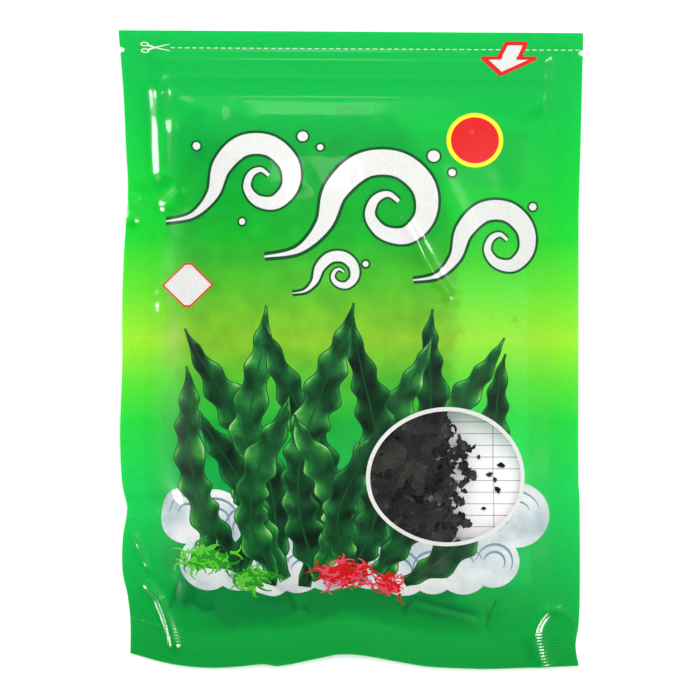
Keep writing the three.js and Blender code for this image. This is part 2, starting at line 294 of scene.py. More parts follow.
def addArt(ink, outline, step=1.6, tone=None):
    points = []
    for (au, av), (bu, bv) in zip(outline, outline[1:] + outline[:1]):
        cuts = max(1, math.ceil(math.hypot(bu - au, bv - av) / step))
        points += [(au + (bu - au) * i / cuts, av + (bv - av) * i / cuts) for i in range(cuts)]
    area = sum(a[0] * b[1] - b[0] * a[1] for a, b in zip(points, points[1:] + points[:1]))
    art.append((ink, points if area > 0 else points[::-1], tone))


def ellipse(centre, radii, count):
    return [(centre[0] + radii[0] * math.cos(2 * math.pi * i / count),
             centre[1] + radii[1] * math.sin(2 * math.pi * i / count)) for i in range(count)]


def disc(centre, radius, count):
    return ellipse(centre, (radius, radius), count)


def box(left, bottom, right, top):
    return [(left, bottom), (right, bottom), (right, top), (left, top)]


def smoothPath(points, cuts):
    # Catmull-Rom points through a given path
    path = []
    for i in range(len(points) - 1):
        a, b = points[max(i - 1, 0)], points[i]
        c, d = points[i + 1], points[min(i + 2, len(points) - 1)]
        for k in range(cuts):
            t = k / cuts
            path.append(tuple(0.5 * (
                2 * b[n] + (c[n] - a[n]) * t + (2 * a[n] - 5 * b[n] + 4 * c[n] - d[n]) * t * t
                + (3 * b[n] - a[n] - 3 * c[n] + d[n]) * t ** 3) for n in range(2)))
    path.append(points[-1])
    return path


def stroke(path, widthAt):
    # the outline of a line drawn along a path, as wide as widthAt gives for 0 to 1 along it
    left, right = [], []
    for i, (u, v) in enumerate(path):
        before, after = path[max(i - 1, 0)], path[min(i + 1, len(path) - 1)]
        du, dv = after[0] - before[0], after[1] - before[1]
        size = math.hypot(du, dv)
        width = widthAt(i / (len(path) - 1))
        near, far = width if isinstance(width, tuple) else (width / 2, width / 2)
        left.append((u - dv / size * near, v + du / size * near))
        right.append((u + dv / size * far, v - du / size * far))
    return left + right[::-1]


waveCrests = {
    "path": [(-2.3, -1.0), (-1.6, -0.86), (-1.1, -0.35), (-0.86, 0.35), (-0.3, 0.88), (0.4, 0.9),
             (0.9, 0.45), (0.95, -0.15), (0.58, -0.56), (0.1, -0.52), (-0.17, -0.2), (-0.08, 0.14),
             (0.18, 0.27), (0.4, 0.12)],
    "places": [((-34.0, 58.0), 14.0), ((9.5, 48.5), 17.0), ((50.0, 36.0), 12.5), ((-5.0, 25.5), 6.5)],
    "spray": [((-16.5, 74.0), 1.8), ((-10.5, 70.0), 1.1), ((28.5, 67.0), 2.1), ((35.0, 61.0), 1.3),
              ((64.0, 49.0), 1.3), ((-55.0, 70.5), 1.4), ((-38.0, 43.5), 1.1), ((5.0, 29.0), 1.0)],
}


def crestWidth(t):
    return 0.04 + 0.5 * ramp(t, 0, 0.3) * (1 - 0.72 * ramp(t, 0.35, 0.85)) * (1 - 0.7 * ramp(t, 0.8, 1.0))


def crestLine(centre, size):
    return smoothPath([(centre[0] + size * a, centre[1] + size * b) for a, b in waveCrests["path"]], 12)


for ink, border, dropBorder, count in (("deepGreen", 1.25, 0.7, 22), ("white", 0.0, 0.0, 20)):
    for centre, size in waveCrests["places"]:
        edge = 2 * border * (0.6 + 0.4 * size / 17.0)
        addArt(ink, stroke(crestLine(centre, size), lambda t: size * crestWidth(t) + edge * (1 - 0.4 * t)))
    for centre, size in waveCrests["spray"]:
        addArt(ink, disc(centre, size + dropBorder, count))

sunDisc = {"centre": (43.0, 73.0), "radius": 8.5, "ring": 1.5}
addArt("yellow", disc(sunDisc["centre"], sunDisc["radius"] + sunDisc["ring"], 56))
addArt("red", disc(sunDisc["centre"], sunDisc["radius"], 48))

# a bank of sea foam behind the fronds: round heads in two rows, with curls drawn in them
foam = {
    "head": 10.0,
    "rows": ((12, 58.0, -57.0, 7.0, 1.5), (10, 49.88, -73.5, 4.2, -1.0)),  # heads, reach, level, sag, odd
    "curls": (0.72, 0.42),
}
foamHeads = []
for count, half, level, sag, odd in foam["rows"]:
    for i in range(count):
        along = i / (count - 1)
        place = (half * (2 * along - 1), level - sag * math.sin(math.pi * along))
        foamHeads.append((place, foam["head"] + odd * (i % 2)))
for centre, size in foamHeads:
    addArt("foam", disc(centre, size, 40))
for i, (centre, size) in enumerate(foamHeads):
    for share in foam["curls"]:
        curl = [(centre[0] + share * size * math.cos(a), centre[1] + share * size * math.sin(a))
                for a in [math.radians(-30 + 12.5 * k + 25 * (i % 3)) for k in range(17)]]
        addArt("foamShade", stroke(curl, lambda t: 0.25 + 0.75 * math.sin(math.pi * t)))

# fronds that sway up out of the foam: foot, tip, bend to the side, width, tone
fronds = [
    ((-34, -80), (-63, -8), 7, 9.5, 0.42), ((-28, -82), (-50, 9), -9, 10, 0.3),
    ((18, -82), (62, -6), -10, 9.5, 0.32), ((12, -82), (49, 6), 6, 10, 0.44),
    ((-22, -80), (-36, 14), 8, 10.5, 0.5), ((8, -80), (34, 12), -7, 10.5, 0.3),
    ((-16, -84), (-22, 10), -9, 10.5, 0.34), ((4, -84), (21, 6), 8, 10, 0.46),
    ((-10, -82), (-7, 16), 9, 11, 0.4), ((-2, -84), (8, 10), -8, 10.5, 0.3),
    ((-38, -78), (-46, -20), -7, 9, 0.34), ((-26, -78), (-28, -16), 8, 9.5, 0.46),
    ((-12, -80), (-12, -22), -8, 9.5, 0.52), ((0, -78), (4, -26), 6, 9, 0.38),
]
frondForm = {"points": 90, "sway": 1.35, "ruffle": 0.2, "ruffleLength": 9.5, "wander": 2.6, "border": 0.4}
frondRandom = random.Random(31)


def addFrond(foot, tip, bend, width, light):
    du, dv = tip[0] - foot[0], tip[1] - foot[1]
    size = math.hypot(du, dv)
    count = frondForm["points"]
    spine = []
    for i in range(count + 1):
        sway = bend * math.sin(math.pi * i / count * frondForm["sway"])
        spine.append((foot[0] + du * i / count - dv / size * sway,
                      foot[1] + dv * i / count + du / size * sway))
    phases = [frondRandom.uniform(0, 2 * math.pi) for side in range(2)]
    seed = frondRandom.uniform(0, 50)
    turns = 2 * math.pi * size / frondForm["ruffleLength"]

    def swell(t, side):
        # -1 in a fold of the frill, 1 on its swell; the frill's length wanders along the frond
        return math.sin(turns * t + phases[side] + frondForm["wander"] * wander(4.5 * t, seed, 3.0 * side))

    def reach(t, side):
        body = width / 2 * (0.35 + 0.65 * ramp(t, 0, 0.2)) * (1 - 0.7 * ramp(t, 0.66, 1.0))
        fullness = 1 + 0.35 * wander(3.5 * t, seed, 9.0 + side)
        tip = 1 - ramp(t, 0.9, 1.0)
        return 0.03 + max(0.4, body * fullness * (1 + frondForm["ruffle"] * swell(t, side))) * tip

    def tone(u, v):
        # lighter on the swell of the frill, darker in its fold and along the rib
        i = min(range(count + 1), key=lambda k: (spine[k][0] - u) ** 2 + (spine[k][1] - v) ** 2)
        t = i / count
        side = 0 if (u - spine[i][0]) * -dv + (v - spine[i][1]) * du > 0 else 1
        out = min(1.0, math.hypot(u - spine[i][0], v - spine[i][1]) / reach(t, side))
        fold = swell(t - 0.018 * out, side) * out
        patch = 0.3 * waver(u, v, 9, 9, seed)
        return light + 0.22 * fold + patch + 0.2 * ramp(out, 0.8, 1.0) - 0.08 * (1 - out)

    border = frondForm["border"]
    addArt("deepGreen", stroke(spine, lambda t: (reach(t, 0) + border, reach(t, 1) + border)))
    addArt("frond", stroke(spine, lambda t: (reach(t, 0), reach(t, 1))), tone=tone)
    addArt("deepGreen", stroke(spine[1:-2:2], lambda t: 0.8 - 0.5 * t))


for frond in fronds:
    addFrond(*frond)


def addBunch(centre, size, count, inkPair, seed):
    # a tangled bunch of fine curled threads
    draw = random.Random(seed)
    addArt(inkPair[0], [(centre[0] + size * r * math.cos(a), centre[1] + 0.55 * size * r * math.sin(a))
                        for a, r in [(2 * math.pi * i / 26, draw.uniform(0.5, 0.8)) for i in range(26)]])
    for i in range(count):
        around, reach = draw.uniform(0, 2 * math.pi), 0.85 * size * math.sqrt(draw.random())
        u, v = centre[0] + reach * math.cos(around), centre[1] + 0.55 * reach * math.sin(around)
        heading, turn = draw.uniform(0, 2 * math.pi), draw.choice((-1, 1)) * draw.uniform(0.2, 0.6)
        points = []
        for k in range(6):
            points.append((u, v))
            u, v = u + 1.25 * math.cos(heading), v + 0.95 * math.sin(heading)
            heading += turn
        addArt(inkPair[i % 2], stroke(smoothPath(points, 2), lambda t: 1.1 - 0.75 * t))


bunches = [
    ((-50, -72), 11.0, 62, ("tuftDeep", "tuftGreen"), 4), ((-34, -80), 8.5, 44, ("tuftDeep", "tuftGreen"), 5),
    ((-3, -81), 10.5, 58, ("red", "coral"), 6), ((13, -84), 7.0, 34, ("red", "coral"), 7),
]
for bunch in bunches:
    addBunch(*bunch)

# a blank white lozenge with a red border
lozenge = {"centre": (-57.0, 22.0), "half": 8.5, "border": 0.9}
for ink, half in (("red", lozenge["half"] + lozenge["border"]), ("white", lozenge["half"])):
    addArt(ink, [(lozenge["centre"][0] + a * half, lozenge["centre"][1] + b * half * 0.92)
                 for a, b in ((1, 0), (0.12, 0.88), (-0.12, 0.88), (-1, 0), (-0.12, -0.88), (0.12, -0.88))])

# the window that is left clear, with its white border
window = {"centre": (33.1, -43.6), "radii": (26.6, 22.6), "border": 1.4}
addArt("white", ellipse(window["centre"], [r + window["border"] for r in window["radii"]], 110))
addArt("clear", ellipse(window["centre"], window["radii"], 104))

# the tear line, with scissors at its start
tearLine = {"v": 104.9, "from": -62.5, "to": 78.0, "dash": 1.5, "gap": 1.0, "height": 0.26}
scissors = {"u": -71.4, "v": 105.1, "ring": (1.45, 0.8), "hole": (0.95, 0.42), "spread": 1.15, "reach": 8.6}
dashU = tearLine["from"]
while dashU < tearLine["to"]:
    addArt("white", box(dashU, tearLine["v"], dashU + tearLine["dash"], tearLine["v"] + tearLine["height"]))
    dashU += tearLine["dash"] + tearLine["gap"]
for side in (-1, 1):
    blade = [(scissors["u"] + 1.2, scissors["v"] - side * 0.75), (scissors["u"] + 3.6, scissors["v"]),
             (scissors["u"] + scissors["reach"], scissors["v"] + side * scissors["spread"])]
    ring = (scissors["u"], scissors["v"] + side * scissors["spread"])
    addArt("white", stroke(smoothPath(blade, 5), lambda t: 0.65 - 0.45 * t))
    addArt("white", ellipse(ring, scissors["ring"], 20))
    addArt("green", ellipse(ring, scissors["hole"], 16))

# the arrow that points to the zip
zipArrow = [(53.6, 107.2), (60.3, 107.2), (58.1, 101.9), (63.4, 101.9), (51.6, 96.5), (45.6, 101.9),
            (50.9, 101.9)]
addArt("red", zipArrow, 0.8)
for a, b in zip(zipArrow, zipArrow[1:] + zipArrow[:1]):
    addArt("red", stroke([a, ((a[0] + b[0]) / 2, (a[1] + b[1]) / 2), b], lambda t: 1.5))
    addArt("red", disc(a, 0.75, 10))
for part in (zipArrow[:2] + zipArrow[2:3] + zipArrow[6:], zipArrow[3:6]):
    middle = [sum(p[n] for p in part) / len(part) for n in range(2)]
    addArt("white", [(middle[0] + 0.76 * (u - middle[0]), middle[1] + 0.76 * (v - middle[1]))
                     for u, v in part], 0.8)
addArt("white", [(52.7, 103.2), (56.9, 103.2), (57.3, 100.7), (51.3, 100.7)], 0.8)

# the tear notches, in both films: half round on the left, a rounded V on the right
roundNotch = ellipse((-halfWidth, 104.3), (1.7, 0.95), 24)
angledNotch = [(halfWidth + 1, 105.6), (halfWidth - 0.2, 105.1), (halfWidth - 1.5, 104.25),
               (halfWidth - 1.7, 103.9), (halfWidth - 1.4, 103.6), (halfWidth - 0.2, 103.0),
               (halfWidth + 1, 102.7)]
addArt("cut", roundNotch)
addArt("cut", angledNotch, 0.5)
print("print drawn:", len(art), "outlines")


fineMesh = {"creaseReach": 1.5, "zipReach": 1.7, "spacing": 0.71, "edgeCell": 0.36}


def needsFineMesh(u, v):
    toZip = min(abs(v - place) for place in zipRidges["places"])
    if toZip < fineMesh["zipReach"] and abs(u) < zipRidges["end"]:
        return True
    return next(creasesNear(u, v, fineMesh["creaseReach"]), None) is not None


def webPoints(spacing, fine):
    # points over the flat film, in staggered rows, and closer ones where the form is fine
    columns, rows = round(pouch["width"] / spacing), round(pouch["length"] / spacing)
    for j in range(rows + 1):
        for i in range(columns + 1):
            onEdge = i in (0, columns) or j in (0, rows)
            shift = 0.5 if j % 2 and 0 < i < columns else 0.0
            u = -halfWidth + pouch["width"] * min(columns, i + shift) / columns
            v = -halfLength + pouch["length"] * j / rows
            if onEdge or not (fine and needsFineMesh(u, v)):
                yield u, v, onEdge
    if fine:
        for j in range(1, int(pouch["length"] / fineMesh["spacing"])):
            for i in range(1, int(pouch["width"] / fineMesh["spacing"])):
                u = -halfWidth + fineMesh["spacing"] * (i + 0.5 * (j % 2))
                v = -halfLength + fineMesh["spacing"] * j
                if needsFineMesh(u, v) and abs(u) < halfWidth - 0.4:
                    yield u, v, False


def filmMesh(name, outlines, spacing, height, inks, fine=False, facesDown=False, shadow=None):
    # triangles over the flat film that keep every outline, laid on the pouch's form
    points, rings = [], []
    cell = fineMesh["edgeCell"]
    near = set()
    for ink, outline, tone in outlines:
        rings.append(list(range(len(points), len(points) + len(outline))))
        points += outline
        for a, b in zip(outline, outline[1:] + outline[:1]):
            cuts = math.ceil(math.hypot(b[0] - a[0], b[1] - a[1]) / cell)
            for k in range(cuts):
                near.add(tuple(round((a[n] + (b[n] - a[n]) * k / cuts) / cell) for n in range(2)))
    for u, v, onEdge in webPoints(spacing, fine):
        if onEdge or (round(u / cell), round(v / cell)) not in near:
            points.append((u, v))
    result = delaunay_2d_cdt([Vector(p) for p in points], [], rings, 0, 1e-5)
    flat, faces, owners = result[0], result[2], result[5]
    mesh = bpy.data.meshes.new(name)
    corners, facts = [], []
    for face, owner in zip(faces, owners):
        ink, outline, tone = outlines[max(owner)] if owner else ("green", None, None)
        centre = sum((flat[i] for i in face), Vector((0, 0))) / len(face)
        if ink == "cut" or abs(centre.x) > halfWidth or abs(centre.y) > halfLength:
            continue
        corners.append(face[::-1] if facesDown else face)
        facts.append((inks.index(ink), tone))
    mesh.from_pydata([(placeX(p.x, p.y) * mm, placeY(p.x, p.y) * mm, height(p.x, p.y) * mm) for p in flat],
                     [], corners)
    for layer in ("web", "shade"):
        mesh.uv_layers.new(name=layer)
    web, shade = mesh.uv_layers
    tones = {}
    # the shade map's second axis carries the shade painted into the ink, 0 where none is given
    shadows = [shadow(p.x, p.y) if shadow else 0.0 for p in flat]
    for polygon, (ink, tone) in zip(mesh.polygons, facts):
        polygon.material_index = ink
        for loop, vertex in zip(polygon.loop_indices, polygon.vertices):
            place = flat[vertex]
            web.data[loop].uv = (place.x / pouch["width"] + 0.5, place.y / pouch["length"] + 0.5)
            if tone and (tone, vertex) not in tones:
                tones[(tone, vertex)] = tone(place.x, place.y)
            shade.data[loop].uv = (tones[(tone, vertex)] if tone else 0.0, shadows[vertex])
    tidy = bmesh.new()
    tidy.from_mesh(mesh)
    bmesh.ops.delete(tidy, geom=[p for p in tidy.verts if not p.link_faces], context="VERTS")
    tidy.to_mesh(mesh)
    tidy.free()
    return mesh


def addPiece(name, mesh, materials):
    piece = bpy.data.objects.new(name, mesh)
    bpy.context.collection.objects.link(piece)
    for material in materials:
        mesh.materials.append(material)
    return piece


def pick(piece):
    bpy.ops.object.select_all(action="DESELECT")
    piece.select_set(True)
    bpy.context.view_layer.objects.active = piece


def applyModifier(piece, kind, **settings):
    pick(piece)
    modifier = piece.modifiers.new(kind.title(), kind)
    for key, value in settings.items():
        setattr(modifier, key, value)
    bpy.ops.object.modifier_apply(modifier=modifier.name)


def linear(*levels):
    # a colour as seen on a screen, 0 to 255, as shader values
    return tuple(c / 255 / 12.92 if c <= 10 else ((c / 255 + 0.055) / 1.055) ** 2.4 for c in levels) + (1.0,)


class NodeSheet:
    # short words for building a material
    def __init__(self, name):
        self.material = bpy.data.materials.new(name)
        self.material.use_nodes = True
        self.nodes = self.material.node_tree.nodes
        self.nodes.clear()

    def add(self, kind, **settings):
        node = self.nodes.new("ShaderNode" + kind)
        for key, value in settings.items():
            setattr(node, key, value)
        return node

    def join(self, source, target):
        # a socket is given a value of its own, or another node's output
        if isinstance(source, (int, float, tuple)):
            target.default_value = source
        else:
            self.material.node_tree.links.new(source, target)

    def calc(self, operation, *values):
        node = self.add("Math", operation=operation)
        for value, socket in zip(values, node.inputs):
            self.join(value, socket)
        return node.outputs[0]

    def ramp(self, factor, stops):
        node = self.add("ValToRGB")
        elements = node.color_ramp.elements
        for element, (position, colour) in zip(elements, (stops[0], stops[-1])):
            element.position, element.color = position, colour
        for position, colour in stops[1:-1]:
            elements.new(position).color = colour
        self.join(factor, node.inputs[0])
        return node.outputs[0]

    def noise(self, vector, scale, detail=3.0, roughness=0.5):
        node = self.add("TexNoise")
        settings = {"Scale": scale, "Detail": detail, "Roughness": roughness, "Vector": vector}
        for name, value in settings.items():
            self.join(value, node.inputs[name])
        return node.outputs[0]

    def mixColour(self, factor, first, second, way="MIX"):
        node = self.add("Mix", data_type="RGBA", blend_type=way)
        for value, socket in zip((factor, first, second), (node.inputs[0], node.inputs[6], node.inputs[7])):
            self.join(value, socket)
        return node.outputs[2]

    def webPlace(self):
        # u and v on the flat film, in mm
        axes = self.add("SeparateXYZ")
        self.join(self.add("UVMap", uv_map="web").outputs[0], axes.inputs[0])
        return (self.calc("MULTIPLY_ADD", axes.outputs[0], pouch["width"], -halfWidth),
                self.calc("MULTIPLY_ADD", axes.outputs[1], pouch["length"], -halfLength))

    def surface(self, colour, roughness, **settings):
        node = self.add("BsdfPrincipled")
        for name, value in {"Base Color": colour, "Roughness": roughness, **settings}.items():
            self.join(value, node.inputs[name.replace("_", " ")])
        return node

    def finish(self, shader):
        self.join(shader.outputs[0], self.add("OutputMaterial").inputs[0])
        return self.material

    def finishOverClear(self, shader, cover, tint):
        # an ink or plastic that covers part of the light, with tinted clear film for the rest
        clear = self.add("BsdfTransparent")
        self.join(tint, clear.inputs[0])
        blend = self.add("MixShader")
        for value, socket in zip((cover, clear.outputs[0], shader.outputs[0]), blend.inputs):
            self.join(value, socket)
        return self.finish(blend)


emboss = {"pitch": 1.05, "crossShare": 0.2, "sideShare": 0.4, "sideGap": 0.6, "depth": 0.00005,
          "unevenShare": 0.8, "unevenScale": 240.0, "strength": 0.65}


def sealEmboss(sheet):
    # ribs a millimetre apart in the welded bands, and the film's own slight unevenness
    u, v = sheet.webPlace()
    turns = 2 * math.pi / emboss["pitch"]
    ribs = sheet.calc("SINE", sheet.calc("MULTIPLY", v, turns))
    crossRibs = sheet.calc("SINE", sheet.calc("MULTIPLY", u, turns))
    low = sheet.calc("LESS_THAN", v, cavityBottom)
    side = sheet.calc("GREATER_THAN", sheet.calc("ABSOLUTE", u), cavityHalfWidth + emboss["sideGap"])
    mesh = sheet.calc("MULTIPLY", sheet.calc("MULTIPLY_ADD", crossRibs, emboss["crossShare"], ribs), low)
    welded = sheet.calc("MULTIPLY_ADD", sheet.calc("MULTIPLY", ribs, side), emboss["sideShare"], mesh)
    place = sheet.add("TexCoord").outputs["Object"]
    uneven = sheet.noise(place, emboss["unevenScale"], 2.0)
    bumpNode = sheet.add("Bump")
    bumpNode.inputs["Strength"].default_value = emboss["strength"]
    bumpNode.inputs["Distance"].default_value = emboss["depth"]
    sheet.join(sheet.calc("MULTIPLY_ADD", uneven, emboss["unevenShare"], welded), bumpNode.inputs["Height"])
    return bumpNode.outputs[0], u, v, place


def filmMaterial(name, colours, cover, tint, follow="height", shine=1.5):
    # printed film: an ink, of one colour or some stops, covers part of the light on glossy clear plastic
    sheet = NodeSheet(name)
    bumps, u, v, place = sealEmboss(sheet)
    speckle = sheet.noise(place, 900.0, 2.0)
    tone = sheet.add("SeparateXYZ")
    sheet.join(sheet.add("UVMap", uv_map="shade").outputs[0], tone.inputs[0])
    if follow == "height":
        guide = sheet.calc("MULTIPLY_ADD", v, 1 / pouch["length"], 0.5)
    elif follow == "shade":
        streaks = sheet.calc("SUBTRACT", sheet.noise(place, 260.0, 4.0), 0.5)
        guide = sheet.calc("MULTIPLY_ADD", streaks, 0.35, tone.outputs[0])
    else:
        guide = sheet.noise(place, 70.0, 3.0)
    colour = sheet.ramp(guide, colours) if isinstance(colours, list) else linear(*colours)
    grain = sheet.ramp(speckle, [(0.35, (0.93, 0.93, 0.93, 1)), (0.65, (1, 1, 1, 1))])
    if colours is greenStops:  # shade painted into the green ink, from the shade map, where the contents lie behind and along folds
        grain = sheet.mixColour(tone.outputs[1], grain, paintedContentsShade["tint"])
    ink = sheet.surface(sheet.mixColour(1.0, colour, grain, "MULTIPLY"), 0.28,
                        IOR=shine, Coat_Weight=1.0, Coat_Roughness=0.07)
    sheet.join(bumps, ink.inputs["Normal"])
    sheet.join(bumps, ink.inputs["Coat Normal"])
    return sheet.finishOverClear(ink, cover, tint)


def stops(*rows):
    return [(place, linear(*colour)) for place, *colour in rows]


greenTint = (0.045, 0.84, 0.27, 1)
greenStops = stops(
    (0.0, 3, 150, 60), (0.14, 8, 178, 78), (0.28, 24, 208, 94), (0.39, 34, 216, 66), (0.45, 96, 228, 54),
    (0.515, 172, 236, 46), (0.59, 110, 228, 48), (0.67, 28, 214, 50), (0.76, 8, 206, 62), (0.87, 2, 196, 76),
    (1.0, 4, 188, 84))
frondStops = stops((0.08, 4, 26, 14), (0.3, 8, 54, 26), (0.48, 16, 86, 38), (0.64, 34, 122, 46),
                   (0.8, 76, 158, 62), (1.0, 150, 200, 128))
foamStops = stops((0.3, 150, 166, 176), (0.5, 196, 204, 204), (0.68, 220, 222, 218))
printInks = {  # colours, cover, tint of the light let through, and what the colours follow
    "green": (greenStops, 0.56, greenTint),
    "white": ((200, 201, 198), 0.94, (0.9, 0.9, 0.9, 1)),
    "foam": (foamStops, 0.88, (0.85, 0.9, 0.88, 1), "mottle"),
    "foamShade": ((112, 136, 150), 0.86, (0.6, 0.75, 0.8, 1)),
    "deepGreen": ((6, 76, 34), 0.82, (0.05, 0.4, 0.15, 1)),
    "frond": (frondStops, 0.86, (0.05, 0.35, 0.12, 1), "shade"),
    "tuftGreen": ((84, 190, 44), 0.84, (0.3, 0.8, 0.2, 1)),
    "tuftDeep": ((34, 142, 32), 0.84, (0.1, 0.6, 0.15, 1)),
    "coral": ((222, 74, 96), 0.86, (0.8, 0.15, 0.2, 1)),
    "red": ((204, 6, 10), 0.88, (0.8, 0.08, 0.06, 1)),
    "yellow": ((246, 222, 24), 0.88, (0.9, 0.85, 0.1, 1)),
}
frontInks = {name: filmMaterial(name + "Ink", *look) for name, look in printInks.items()}
frontInks["clear"] = filmMaterial("clearWindow", (50, 52, 50), 0.035, (1, 1, 1, 1), shine=2.6)
frontInks["inside"] = filmMaterial("filmInside", (60, 66, 60), 0.01, (1, 1, 1, 1))
films = {"frontSpacing": 1.55, "backSpacing": 2.0, "smoothAngle": math.radians(50)}


def addFilm(name, slot, outlines, spacing, height, inks, **settings):
    # a printed film of its real thickness; the inner wall and the rim take the last ink
    mesh = filmMesh(name, outlines, spacing, height, list(inks), **settings)
    film = addPiece(name, mesh, inks.values())
    thickness = pouch["filmThickness"] * mm
    applyModifier(film, "SOLIDIFY", thickness=thickness, offset=-1.0, material_offset=len(inks))
    bpy.ops.object.shade_smooth_by_angle(angle=films["smoothAngle"])
    print(name + ":", len(mesh.polygons), "faces")
    return film


printedFront = addFilm("printed_front", "front_film", art, films["frontSpacing"], frontOutside, frontInks,
                       fine=True, shadow=paintedFrontShade)
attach(printedFront, "root")
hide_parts("front_film")

# the back: green, with a dark band above and a blank white table below
backTable = {"top": 27.8, "pitch": 4.05, "line": 0.26, "columns": (50.2, 20.0, -20.0, 62.8, -62.8),
             "columnHalf": 0.14}
darkBand = [(-62, 57), (32.8, 58.1), (58.5, 55.2), (62.3, 75.8), (-62, 76)]
art = []
addArt("deepGreen", darkBand, 3.0)
addArt("label", box(-63.2, -82.5, 63.2, backTable["top"]), 3.0)
addArt("cut", roundNotch)
addArt("cut", angledNotch, 0.5)


def tableMaterial():
    sheet = NodeSheet("backTableInk")
    bumps, u, v, place = sealEmboss(sheet)
    down = sheet.calc("SUBTRACT", backTable["top"], v)
    lines = sheet.calc("LESS_THAN", sheet.calc("MODULO", down, backTable["pitch"]), backTable["line"])
    for column in backTable["columns"]:
        away = sheet.calc("ABSOLUTE", sheet.calc("SUBTRACT", u, column))
        lines = sheet.calc("MAXIMUM", lines, sheet.calc("LESS_THAN", away, backTable["columnHalf"]))
    colour = sheet.mixColour(lines, linear(252, 249, 252), linear(150, 152, 154))
    ink = sheet.surface(colour, 0.25, Coat_Weight=0.5, Coat_Roughness=0.1)
    sheet.join(bumps, ink.inputs["Normal"])
    return sheet.finishOverClear(ink, 0.9, (0.9, 0.9, 0.9, 1))


backInks = {
    "green": filmMaterial("backGreenInk", greenStops, 0.66, greenTint),
    "deepGreen": frontInks["deepGreen"],
    "label": tableMaterial(),
    "inside": frontInks["inside"],
}


def backForm(u, v):
    slack = 0.25 * waver(u, v, 18, 24, 11.0) * ramp(backOutside(u, v), 0.3, 1.6)
    return max(0.02, backOutside(u, v) + 0.1 + slack - 0.1 * ramp(fill(u, v), 0, pouch["flatBackFill"]))


printedBack = addFilm("printed_back", "back_film", art, films["backSpacing"], backForm, backInks,
                      facesDown=True)
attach(printedBack, "root")
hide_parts("back_film")


def wakameMaterial(name, darkest, lightest):
    sheet = NodeSheet(name)
    place = sheet.add("TexCoord").outputs["Object"]
    fine = sheet.noise(place, 1100.0, 5.0, 0.62)
    hue = sheet.ramp(sheet.noise(place, 150.0, 3.0), [(0.32, darkest + (1,)), (0.7, lightest + (1,))])
    mottled = sheet.ramp(fine, [(0.3, (0.6, 0.6, 0.6, 1)), (0.7, (1.6, 1.6, 1.6, 1))])
    leaf = sheet.surface(sheet.mixColour(1.0, hue, mottled, "MULTIPLY"), 0.5, Specular_IOR_Level=0.14)
    wrinkles = sheet.add("Bump")
    wrinkles.inputs["Strength"].default_value = 0.8
    wrinkles.inputs["Distance"].default_value = 0.0004
    sheet.join(fine, wrinkles.inputs["Height"])
    sheet.join(wrinkles.outputs[0], leaf.inputs["Normal"])
    return sheet.finish(leaf)


wakame = [wakameMaterial("driedWakame", (0.003, 0.004, 0.004), (0.012, 0.012, 0.013)),
          wakameMaterial("driedWakameBlack", (0.001, 0.0015, 0.001), (0.004, 0.0045, 0.003)),
          wakameMaterial("driedWakameBrown", (0.01, 0.0095, 0.008), (0.028, 0.0255, 0.0215))]
flake = {"plainMasters": 6, "raggedMasters": 9, "plainSides": 11, "raggedSides": 15, "thickness": 0.09,
         "thickest": 2.5, "least": 0.8, "room": 0.9, "seed": 12, "tilt": 0.12,
         "shades": (0, 0, 0, 0, 1, 1, 2, 2), "smoothAngle": math.radians(35)}


def flakeMaster(index, sides, ragged):
    # one crinkled, curled scrap about 2 mm across, made as by hand
    draw = random.Random(flake["seed"] + index)
    bpy.ops.object.select_all(action="DESELECT")
    bpy.ops.mesh.primitive_circle_add(vertices=sides, radius=1.0, fill_type="NGON")
    scrap = bpy.context.object
    bpy.ops.object.mode_set(mode="EDIT")
    bpy.ops.mesh.select_all(action="SELECT")
    bpy.ops.mesh.inset(thickness=0.3)
    if ragged:
        bpy.ops.mesh.inset(thickness=0.32)
    bpy.ops.mesh.poke()
    bpy.ops.object.mode_set(mode="OBJECT")
    torn = [draw.uniform(0.62, 1.18) if ragged else draw.uniform(0.74, 1.14) for i in range(sides)]
    strip = ragged and index % 3 == 2  # a curled strip and not a patch
    stretch = 0.3 if strip else draw.uniform(0.5, 0.95)
    bow = draw.choice((-0.5, 0.5)) if strip else 0.0
    curl = draw.uniform(-0.4, 0.4)
    for vertex in scrap.data.vertices:
        x, y, z = vertex.co
        reach = math.hypot(x, y)
        spoke = round(math.atan2(y, x) / (2 * math.pi) * sides) % sides
        uneven = 1 + (0.5 * wander(2.2 * x, 2.2 * y, 7.3 * index) + torn[spoke] - 1) * reach
        x, y = x * uneven, y * uneven * stretch
        z = curl * x * x + 0.26 * wander(1.9 * x, 2.6 * y, 4.1 * index)
        vertex.co = (x, y + bow * x * x, z)
    applyModifier(scrap, "SOLIDIFY", thickness=flake["thickness"], offset=0.0)
    mesh = scrap.data
    bpy.data.objects.remove(scrap)
    return mesh


plainMasters = [flakeMaster(i, flake["plainSides"], False) for i in range(flake["plainMasters"])]
raggedMasters = [flakeMaster(20 + i, flake["raggedSides"], True) for i in range(flake["raggedMasters"])]
heap = bmesh.new()
heapRandom = random.Random(5)


def roomAt(u, v, reach):
    # the least height between the films round a place
    return min(frontInside(u + a, v + b) - backOutside(u + a, v + b)
               for a, b in ((reach, 0), (-reach, 0), (0, reach), (0, -reach)))


def fittedSize(u, v, size):
    # a flake is smaller where the pouch is too thin for it
    while size > flake["least"] and roomAt(u, v, size) < flake["room"]:
        size *= 0.8
    return size


